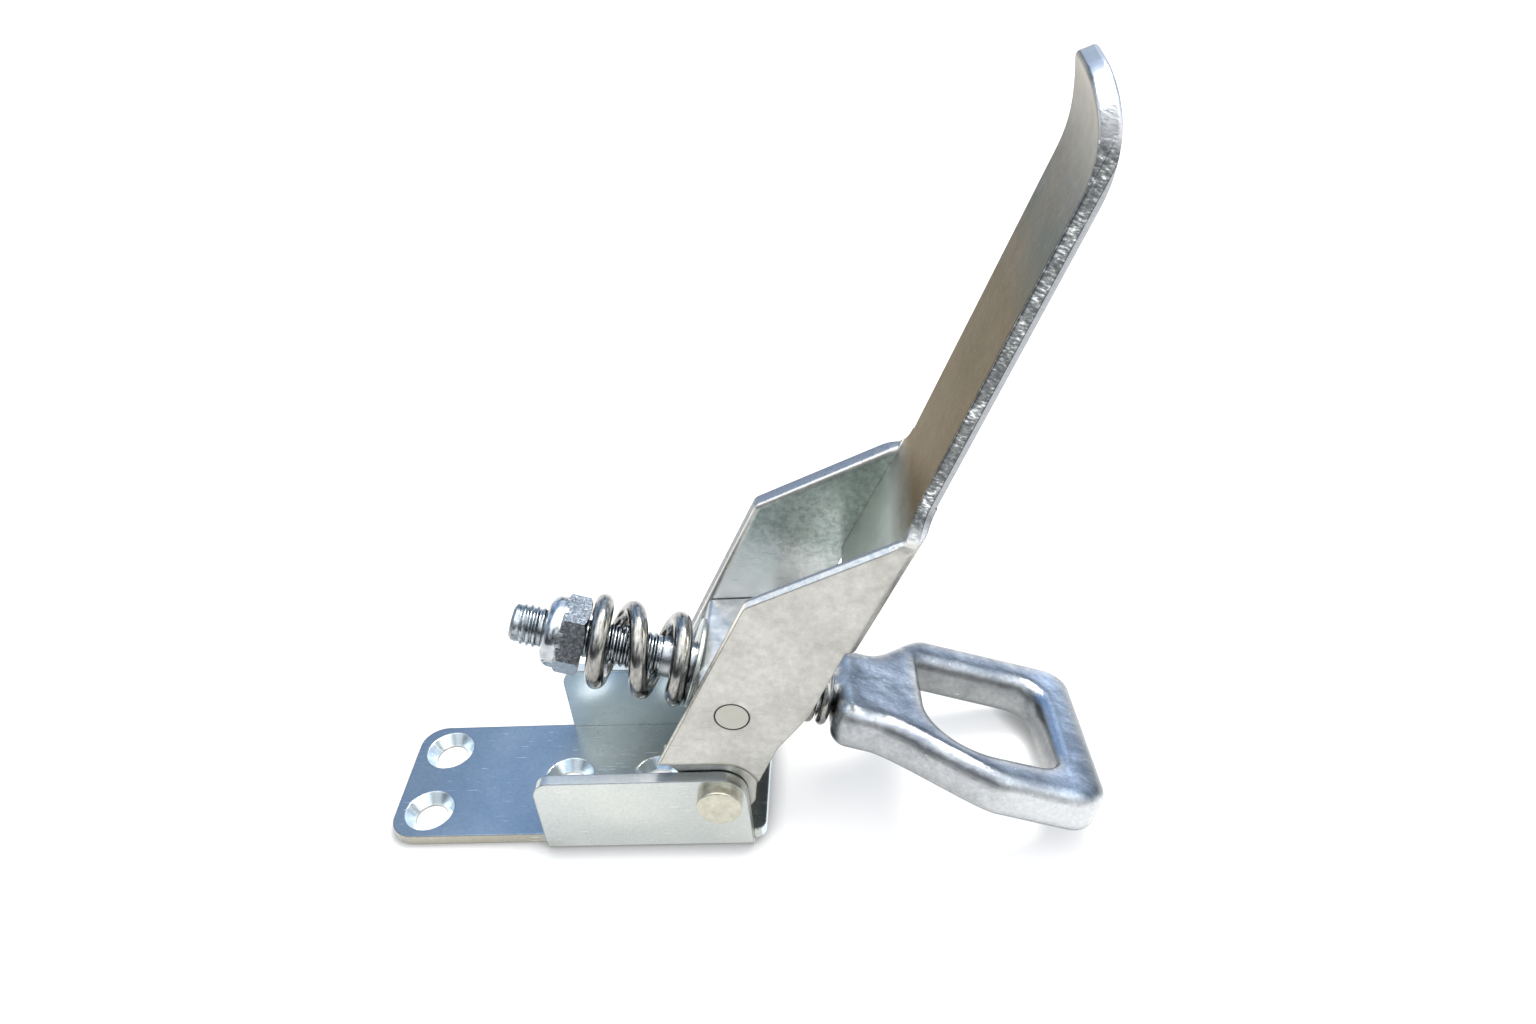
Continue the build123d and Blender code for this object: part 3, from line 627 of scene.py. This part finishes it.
def nut_finish():
    """Bright zinc on a cold formed nut: a smooth collar and a wrinkled hexagon."""
    material, tree, place = new_material("bright_zinc_on_lock_nut")
    here = place["Object"]
    cloud = add(tree, "TexNoise", [here, per_metre(3.33), 5.0, 0.6])
    smooth = add(tree, "ValToRGB", [cloud], [(0.32, "#9EA3A6"), (0.68, "#C9CDD0")])
    away = add(tree, "VectorMath", [here, tuple(ROD)], operation="SUBTRACT")
    along = add(tree, "VectorMath", [away, tuple(ALONG)], operation="DOT_PRODUCT")
    hexagon = add(tree, "MapRange", [along, HEX_END - 0.2 * MM, HEX_END])
    fine = {"Scale": per_metre(0.833), "Detail": 4.0, "Roughness": 0.7, "Distortion": 0.8}
    wrinkle = add(tree, "TexNoise", {"Vector": here, **fine})
    skin = add(tree, "ValToRGB", [wrinkle], [(0.40, "#666A6D"), (0.52, "#9CA0A3"), (0.66, "#D9DCDE")])
    share = add(tree, "Math", [hexagon, 0.65], operation="MULTIPLY")
    tone = add(tree, "Mix", [share, smooth, skin], **COLOUR)
    height = add(tree, "Math", [hexagon, wrinkle], operation="MULTIPLY")
    relief = add(tree, "Bump", {"Strength": 0.35, "Distance": 0.2 * MM, "Height": height})
    gloss = add(tree, "MapRange", [cloud, 0.3, 0.7, 0.08, 0.20])
    # painted shade on what faces down
    colour = underside(tree, place, tone, 0.45)
    inputs = {"Base Color": colour, "Roughness": gloss, "Normal": relief, "Metallic": 1.0}
    return finish_material(material, inputs)


dress("lock_nut", nut_finish())

# %% [markdown]
# ## The locking ring
# A self locking nut grips the thread with a ring of plain nylon. Nylon is a milky
# plastic: not metallic, an IOR of 1.53, satin. Moulding leaves it slightly cloudy, in
# patches of 2.5 mm.

# %% Nylon
def nylon():
    """Natural nylon: an uneven warm white."""
    material, tree, place = new_material("natural_nylon")
    cloud = add(tree, "TexNoise", [place["Object"], per_metre(2.5), 3.0])
    tone = add(tree, "ValToRGB", [cloud], [(0.35, "#B9B8AE"), (0.65, "#CFCEC6")])
    return finish_material(material, {"Base Color": tone, "Roughness": 0.45, "IOR": 1.53})


dress("nylon_ring", nylon())

# %% [markdown]
# ## Bright zinc over a forged skin: the tones
# The eye bolt is drop forged and plated. Its colour is chosen by which way a surface
# faces, as lit and shaded copies of one zinc: what faces up mirrors the ceiling through a
# darker, mottled tone, the flanks are a neutral grey that is lighter towards the eye, the
# slot's walls are painted darker as shade, and the underside is painted darkest as shade.
# The far bar of the eye is painted bluish as a reflection, and its outer rim carries a
# painted dark reflection. The side facing outwards is found with one product: position Y
# times normal Y is large only where both point the same way, which the slot's walls don't.

# %% Eye bolt tones
BAR_START, RIM_START = 76 * MM, 83.5 * MM  # the eye's far bar and its rim


def eye_tones(tree, place, cloud):
    """The eye bolt's colour by where a point is and which way it faces, with painted light and shade."""
    spot = add(tree, "SeparateXYZ", [place["Object"]]).outputs
    facing = add(tree, "SeparateXYZ", [place["Normal"]]).outputs
    # what faces up, with the far bar's painted bluish reflection and the rim's painted dark reflection
    top = add(tree, "ValToRGB", [cloud], [(0.30, "#79808A"), (0.55, "#9CA2A8"), (0.75, "#C4C8CC")])
    at_bar = add(tree, "MapRange", [spot["X"], BAR_START, BAR_START + 7 * MM])
    far_bar = add(tree, "Mix", [at_bar, top, "#AFBAC7"], **COLOUR)
    at_rim = add(tree, "MapRange", [spot["X"], RIM_START, RIM_START + 5.5 * MM])
    rimmed = add(tree, "Mix", [at_rim, far_bar, "#70787F"], **COLOUR)
    # the flanks, lighter towards the eye, and the slot's walls, painted darker as shade
    flank = add(tree, "ValToRGB", [cloud], [(0.30, "#8D9093"), (0.75, "#BBBEBF")])
    at_eye = add(tree, "MapRange", [spot["X"], 50 * MM, 75 * MM])
    lighter_towards_eye = add(tree, "Mix", [at_eye, flank, "#C6C9CB"], **COLOUR)
    in_slot = add(tree, "ValToRGB", [cloud], [(0.30, "#7D8082"), (0.75, "#A6A9AA")])
    product = add(tree, "Math", [spot["Y"], facing["Y"]], operation="MULTIPLY")
    outward = add(tree, "MapRange", [product, 3 * MM, 10 * MM])
    sides = add(tree, "Mix", [outward, in_slot, lighter_towards_eye], **COLOUR)
    up = add(tree, "MapRange", [facing["Z"], 0.35, 0.85])
    lit = add(tree, "Mix", [up, sides, rimmed], **COLOUR)
    # painted shade on the underside
    down = add(tree, "MapRange", [facing["Z"], -0.10, -0.45, 0.0, 0.70])
    return add(tree, "Mix", [down, lit, "#5F6468"], **COLOUR)


print("the far bar is bluish from, mm:", BAR_START / MM)

# %% [markdown]
# ## Bright zinc over a forged skin: the surface
# Under its plating the steel keeps the forge's skin: shallow dents 9.5 mm wide, and pits
# from scale. Real pits are finer; they are drawn 1.1 mm wide, so that they show. Two
# noises make the height, and the gloss follows the pits, because plating is smoother on
# the high spots. A wide Bevel node under the bumps blends the shading round every corner,
# so the bars look as soft as forged steel does. Thin bright flecks, 3.3 by 0.45 mm, are
# painted glints on small scratches.

# %% Forged material
SOFT_RADIUS = 5.8 * MM


def forged():
    """Bright zinc on a drop forging: dents, pits and flecks painted as glints."""
    material, tree, place = new_material("bright_zinc_on_forging")
    here = place["Object"]
    dents = add(tree, "TexNoise", [here, per_metre(9.52), 2.0, 0.40])
    pits = add(tree, "TexNoise", [here, per_metre(1.111), 4.0, 0.65])
    cloud = add(tree, "TexNoise", [here, per_metre(11.1), 5.0, 0.6])
    pitted = add(tree, "Mix", [0.30, eye_tones(tree, place, cloud), pits], **OVERLAY)
    # thin flecks painted as glints on small scratches
    flecks = scratches(tree, place, (0.0, 0.3, 0.9), length=3.33, width=0.4545, rare=0.72)
    colour = add(tree, "Mix", [flecks, pitted, "#E3E8EC"], **COLOUR)
    soft = add(tree, "Bevel", {"Radius": SOFT_RADIUS}, samples=8)
    dented = add(tree, "Bump", {"Strength": 0.5, "Distance": 1.0 * MM, "Height": dents, "Normal": soft})
    relief = add(tree, "Bump", {"Strength": 0.25, "Distance": 0.2 * MM, "Height": pits, "Normal": dented})
    gloss = add(tree, "MapRange", [pits, 0.35, 0.65, 0.19, 0.07])
    inputs = {"Base Color": colour, "Roughness": gloss, "Normal": relief, "Metallic": 1.0}
    return finish_material(material, inputs)


dress("eye_bolt", forged())

# %% [markdown]
# ## Spring wire
# Springs are cold drawn wire, which is smooth before it is plated, so they come out
# almost like chrome. A faint noise drawn out along the wire keeps them from looking like
# glass, and the underside is darkened, because the coils shade one another. The pattern
# reads a UV map that the coil function below writes: U along the wire, one unit a turn,
# and V round it. Real die lines are finer, so the marks are drawn coarser, to show.

# %% Spring wire material
MARK_LENGTH, MARK_WIDTH = 1.45, 0.48  # mm
HEAVY_MEAN, HEAVY_WIRE = 18.4, 4.6  # the heavy spring's mean and wire diameters, mm


def spring_wire():
    """Bright zinc on drawn wire, with marks along its length."""
    material, tree, place = new_material("bright_zinc_on_drawn_wire")
    marks = (round(math.pi * HEAVY_MEAN / MARK_LENGTH), round(math.pi * HEAVY_WIRE / MARK_WIDTH), 1.0)
    drawn = add(tree, "Mapping", {"Vector": place["UV"], "Scale": marks})
    line = add(tree, "TexNoise", [drawn, 1.0, 4.0])
    tone = add(tree, "ValToRGB", [line], [(0.30, "#7A7874"), (0.70, "#AAA9A5")])
    gloss = add(tree, "MapRange", [line, 0.3, 0.7, 0.10, 0.20])
    relief = add(tree, "Bump", {"Strength": 0.12, "Distance": 0.1 * MM, "Height": line})
    colour = underside(tree, place, tone, 0.28, 0.15)
    inputs = {"Base Color": colour, "Roughness": gloss, "Normal": relief, "Metallic": 1.0}
    return finish_material(material, inputs)


wire_finish = spring_wire()

# %% [markdown]
# ## A surface from a grid
# Every new piece here is one grid of points, worked out as whole arrays. One function
# turns such a grid into a mesh: it joins neighbouring points into quads, wraps the grid
# round where it is closed, and fans the two open ends shut.

# %% Grid to mesh
def grid_mesh(name, points, uv, material):
    """points[i, j]: i runs along the piece, j runs round it and wraps; a centre point closes each end."""
    rows, cols = points.shape[:2]
    corners = np.concatenate([points.reshape(-1, 3), points[0].mean(0)[None], points[-1].mean(0)[None]])
    i, j = np.meshgrid(np.arange(rows - 1), np.arange(cols), indexing="ij")
    k = (j + 1) % cols
    quads = np.stack([i * cols + j, i * cols + k, (i + 1) * cols + k, (i + 1) * cols + j], -1).reshape(-1, 4)
    ring = np.arange(cols)
    first = np.stack([np.full(cols, rows * cols), np.roll(ring, -1), ring], -1)
    last = (rows - 1) * cols
    final = np.stack([np.full(cols, rows * cols + 1), last + ring, last + np.roll(ring, -1)], -1)
    mesh = bpy.data.meshes.new(name)
    mesh.from_pydata(corners.tolist(), [], quads.tolist() + first.tolist() + final.tolist())
    mesh.shade_smooth()
    layer = mesh.uv_layers.new(name="along")
    all_uv = np.concatenate([uv.reshape(-1, 2), uv[0, :1], uv[-1, :1]])
    loops = np.empty(len(mesh.loops), int)
    mesh.loops.foreach_get("vertex_index", loops)
    layer.data.foreach_set("uv", all_uv[loops].ravel())
    piece = bpy.data.objects.new(name, mesh)
    bpy.context.scene.collection.objects.link(piece)
    mesh.materials.append(material)
    print(name, "faces:", len(mesh.polygons))
    return piece


# %% [markdown]
# ## The springs' centre line
# A compression spring with closed ends doesn't climb evenly: the first and last part of a
# turn lie flat against their seats, and the turns between climb faster. The centre line
# is a circle whose place along the rod follows a smooth S curve.

# %% Spring centre line
FLAT_START, FLAT_END = 0.25, 0.15  # the part of a turn that lies flat at each end
STEPS_A_TURN = 96


def spring_line(start, end, outer, wire, turns, end_pitch, first_turn):
    """A circle of mean radius, placed along the rod by end_pitch * t plus an S curve 3x^2 - 2x^3.
    Gives the turns, the points and the directions straight out from the rod."""
    t = np.linspace(0.0, turns, int(STEPS_A_TURN * turns) + 1)
    x = np.clip((t - FLAT_START) / (turns - FLAT_START - FLAT_END), 0.0, 1.0)
    rise = end - start - wire - end_pitch * turns
    s = start + wire / 2 + end_pitch * t + rise * x * x * (3 - 2 * x)
    mean, turn = (outer - wire) / 2, 2 * np.pi * (first_turn + t)
    line = rod_frame(s, mean * np.cos(turn), mean * np.sin(turn))
    return t, line, (rod_frame(s * 0, np.cos(turn), np.sin(turn)) - ROD) / MM


print("parts of a turn that lie flat:", FLAT_START, "and", FLAT_END)

# %% [markdown]
# ## Winding the springs
# The wire's round section is carried along the centre line at right angles to it, and
# drawn in a little at the two cut ends, which are square with the corner just broken. A
# pipe made from a curve would do the same, but its ends could not be cut this way.

# %% Spring function
SECTION_POINTS = 28
BROKEN, CHAMFER = 0.9, 0.2 * MM  # the end's section is 0.9 of the wire's, 0.2 mm further out


def wound_spring(name, start, end, outer, wire, turns, end_pitch, first_turn):
    """A circle of wire radius carried along the centre line, in the plane of its normal and binormal."""
    t, line, outward = spring_line(start, end, outer, wire, turns, end_pitch, first_turn)
    tangent = np.gradient(line, axis=0)
    tangent /= np.linalg.norm(tangent, axis=1, keepdims=True)
    normal = outward - (outward * tangent).sum(1, keepdims=True) * tangent
    normal /= np.linalg.norm(normal, axis=1, keepdims=True)
    binormal = np.cross(tangent, normal)
    # one more section beyond each end, a little smaller
    line, tangent, normal, binormal = (
        np.concatenate([a[:1], a, a[-1:]]) for a in (line, tangent, normal, binormal))
    line[0] -= CHAMFER * tangent[0]
    line[-1] += CHAMFER * tangent[-1]
    share = np.ones(len(line))
    share[[0, -1]] = BROKEN
    a = np.linspace(0, 2 * np.pi, SECTION_POINTS, endpoint=False)
    ring = np.cos(a)[None, :, None] * normal[:, None] + np.sin(a)[None, :, None] * binormal[:, None]
    points = line[:, None] + wire / 2 * MM * share[:, None, None] * ring
    length = np.linspace(0.0, turns, len(line))
    uv = np.stack(np.broadcast_arrays(length[:, None], (a / (2 * np.pi))[None, :]), -1)
    return grid_mesh(name, points, uv, wire_finish)


print(STEPS_A_TURN, "sections a turn, of", SECTION_POINTS, "points each")

# %% [markdown]
# ## The two springs in their places
# The heavy spring runs from the nut to the washer, and the light one pushes the eye back
# out.

# %% Place the springs
NUT_FACE, WASHER_FACE, BLOCK_FACE, SHOULDER = -38.7, -12.2, 8.5, 23.2  # along the rod, mm
main_spring = wound_spring("main_spring_wound", NUT_FACE, WASHER_FACE, 23.0, 4.6, 2.75, 2.0, 0.0)
rebound_spring = wound_spring("rebound_spring_wound", BLOCK_FACE, SHOULDER, 16.0, 2.6, 3.5, 2.7, 0.25)
springs = (
    (main_spring, "main_spring", WASHER_FACE, NUT_FACE),
    (rebound_spring, "rebound_spring", BLOCK_FACE, SHOULDER),
)
for spring, node, lo, hi in springs:
    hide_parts(node)
    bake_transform(spring)

# %% [markdown]
# ## The rolled thread
# The rod is threaded M10 with a pitch of 1.5 mm. A thread is one ridge wound round the
# core: its outline across a single pitch is a flank up, a narrow crest, a flank down and
# a rounded root. We carry that outline round a helix, and let the crest run down to
# nothing at both ends, as a rolled thread does. The parts inside the nut and behind the
# springs' seats are left out, because nothing shows there.

# %% Thread function
PITCH, CORE_RADIUS, CREST_RADIUS = 1.5, 4.44, 5.0
ACROSS_PITCH = np.array([0.06, 0.06, 0.16, 0.40, 0.46, 0.56, 0.62, 0.86, 0.96, 0.96])
RIDGE_HEIGHT = np.array([-0.5, 0.0, 0.10, 0.93, 1.0, 1.0, 0.93, 0.10, 0.0, -0.5])
LEAD_IN, RUN_OUT = 1.6, 1.0            # turns over which the crest rises and falls
THREAD_STEPS = 72                      # a turn


def thread(name, start, end, material):
    """Radius at turn t and share p of a pitch: the core plus depth times the ridge's height, faded at
    both ends."""
    turns = (end - start) / PITCH
    t = np.linspace(0.0, turns, int(THREAD_STEPS * turns) + 1)[:, None]
    p, height = ACROSS_PITCH[None, :], RIDGE_HEIGHT[None, :]
    lead_in = np.clip(t / LEAD_IN, 0.0, 1.0)
    run_out = np.clip((turns - t) / RUN_OUT, 0.0, 1.0)
    faded = np.where(height > 0, height * np.minimum(lead_in, run_out), height)
    radius = CORE_RADIUS + (CREST_RADIUS - CORE_RADIUS) * faded
    turn = 2 * np.pi * t
    s = start + PITCH * (t + p - 0.5)
    points = rod_frame(s + 0 * radius, radius * np.cos(turn), radius * np.sin(turn))
    uv = np.stack(np.broadcast_arrays(t, p), -1)
    return grid_mesh(name, points[:, ::-1], uv[:, ::-1], material)


thread_finish = small_part("bright_zinc_on_rolled_thread", "#545D63", "#BCC5CA", 0.14, 0.15, 2.0)
for name, start, end in (("thread_outer_end", -55.8, -48.5), ("thread_inside_spring", -39.0, -20.0)):
    ridge = thread(name, start, end, thread_finish)
    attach(ridge, "eye_bolt")

# %% [markdown]
# ## The floor
# The floor is a matt white board that also glows a little, like a light table, so it
# stays white under the latch and gives only soft shadows. An Ambient Occlusion node finds
# where something stands within 5 mm and dims the board there: a painted contact shadow,
# the thin dark line under a touching edge. It is dimmed for the camera only, so that the
# plating doesn't mirror it.

# %% Floor
CONTACT_REACH = 5 * MM  # how far the dark line under a touching edge spreads
GLOW = 0.58
FLOOR_HALF = 6.0


def floor_material():
    """A matt white board that glows, with a painted contact shadow where something stands close."""
    material, tree, place = new_material("matt_white_board")
    cloud = add(tree, "TexNoise", [place["Object"], per_metre(333.0)])
    tone = add(tree, "ValToRGB", [cloud], [(0.3, "#ACADAD"), (0.7, "#B0B0B0")])
    # a painted contact shadow where something stands within reach
    near = add(tree, "AmbientOcclusion", {"Distance": CONTACT_REACH}, samples=2).outputs["AO"]
    contact_shadow = add(tree, "MapRange", [near, 0.45, 0.95, 0.35, 1.0])
    seen = add(tree, "LightPath").outputs["Is Camera Ray"]
    share = add(tree, "Mix", [seen, 1.0, contact_shadow])
    colour = add(tree, "VectorMath", [tone, share], operation="SCALE")
    glow = add(tree, "Math", [share, GLOW], operation="MULTIPLY")
    inputs = {"Base Color": colour, "Roughness": 0.9, "Specular IOR Level": 0.1}
    return finish_material(material, {**inputs, "Emission Strength": glow, "Emission Color": "#FFFFFF"})


mesh = bpy.data.meshes.new("floor")
square = [(x * FLOOR_HALF, y * FLOOR_HALF, 0.0) for x, y in ((-1, -1), (1, -1), (1, 1), (-1, 1))]
mesh.from_pydata(square, [], [(0, 1, 2, 3)])
mesh.materials.append(floor_material())
floor = bpy.data.objects.new("floor", mesh)
bpy.context.scene.collection.objects.link(floor)
print("floor, m:", [2 * FLOOR_HALF] * 2)

# %% [markdown]
# ## The room that the metal mirrors
# Polished metal shows its surroundings more than its own colour, so the surroundings are
# designed as a room: bluish grey to the left, paler to the right, dark behind the camera
# and a bright ceiling overhead. Ramps over a direction's Z paint each side, and its X and
# Y choose between them. Slow noise makes the walls uneven, which is what gives plating
# its streaks. Seen directly the room is a plain pale grey.

# %% World
ROOM_STRENGTH = 3.0
LEFT = [(0.0, "#9A9B9D"), (0.20, "#737C8A"), (0.50, "#5D718A"), (0.80, "#5D718A"), (0.94, "#FFFFFF")]
RIGHT = [(0.0, "#9A9B9D"), (0.20, "#858E9D"), (0.50, "#949EAB"), (0.78, "#9DA6B2"), (0.90, "#FFFFFF")]
FRONT = [(0.0, "#505254"), (0.32, "#3C3D40"), (0.52, "#76787B"), (0.76, "#B9BCC0"), (0.88, "#FFFFFF")]
world = bpy.data.worlds.new("studio")
bpy.context.scene.world = world
world.use_nodes = True
sky = world.node_tree
sky.nodes.clear()
direction = add(sky, "TexCoord").outputs["Generated"]
toward = add(sky, "SeparateXYZ", [direction]).outputs
# three walls, painted by height
left_wall, right_wall, front_wall = (add(sky, "ValToRGB", [toward["Z"]], w) for w in (LEFT, RIGHT, FRONT))
to_right = add(sky, "MapRange", [toward["X"], -0.2, 0.15])
back_walls = add(sky, "Mix", [to_right, left_wall, right_wall], **COLOUR)
to_back = add(sky, "MapRange", [toward["Y"], -0.5, 0.3])
walls = add(sky, "Mix", [to_back, front_wall, back_walls], **COLOUR)
# uneven walls, and an even ceiling
slow = add(sky, "TexNoise", [direction, 3.2, 3.0])
uneven = add(sky, "MapRange", [slow, 0.38, 0.62, 0.30, 1.70])
overhead = add(sky, "MapRange", [toward["Z"], 0.70, 0.88])
varied = add(sky, "Mix", [overhead, uneven, 1.0])
painted = add(sky, "VectorMath", [walls, varied], operation="SCALE")
# the room for reflections, plain grey for the camera
room = add(sky, "Background", {"Color": painted, "Strength": ROOM_STRENGTH})
plain = add(sky, "Background", {"Color": "#F4F5F6"})
seen = add(sky, "LightPath").outputs["Is Camera Ray"]
add(sky, "OutputWorld", {"Surface": add(sky, "MixShader", [seen, room, plain])})
print("world nodes:", len(sky.nodes))

# %% [markdown]
# ## The lamps
# Two soft square lamps finish the light. The key lamp hangs behind the latch, above and
# to its right, and sends the soft shadow forwards; it is a little warm. The fill lamp is
# larger and weaker, in front on the right, and opens up the shaded sides. The Standard
# view transform keeps the white board white.

# %% Lamps
def lamp(name, position, target, size, power, colour="#FFFFFF"):
    """A square soft lamp at position, facing target."""
    data = bpy.data.lights.new(name, "AREA")
    data.shape, data.size, data.energy, data.color = "SQUARE", size, power, linear(colour)[:3]
    obj = bpy.data.objects.new(name, data)
    bpy.context.scene.collection.objects.link(obj)
    aim = (Vector(target) - Vector(position)).to_track_quat("-Z", "Y")
    obj.matrix_world = Matrix.Translation(position) @ aim.to_matrix().to_4x4()
    print(name, "at", position, "m,", power, "W")
    return obj


LATCH_MIDDLE = (0.02, 0, 0.05)
lamp("key_lamp", (0.22, 0.32, 0.95), LATCH_MIDDLE, 0.35, 9.0, "#FFF6EA")
lamp("fill_lamp", (0.7, -0.5, 0.6), LATCH_MIDDLE, 0.8, 2.0)
bpy.context.scene.view_settings.view_transform = "Standard"
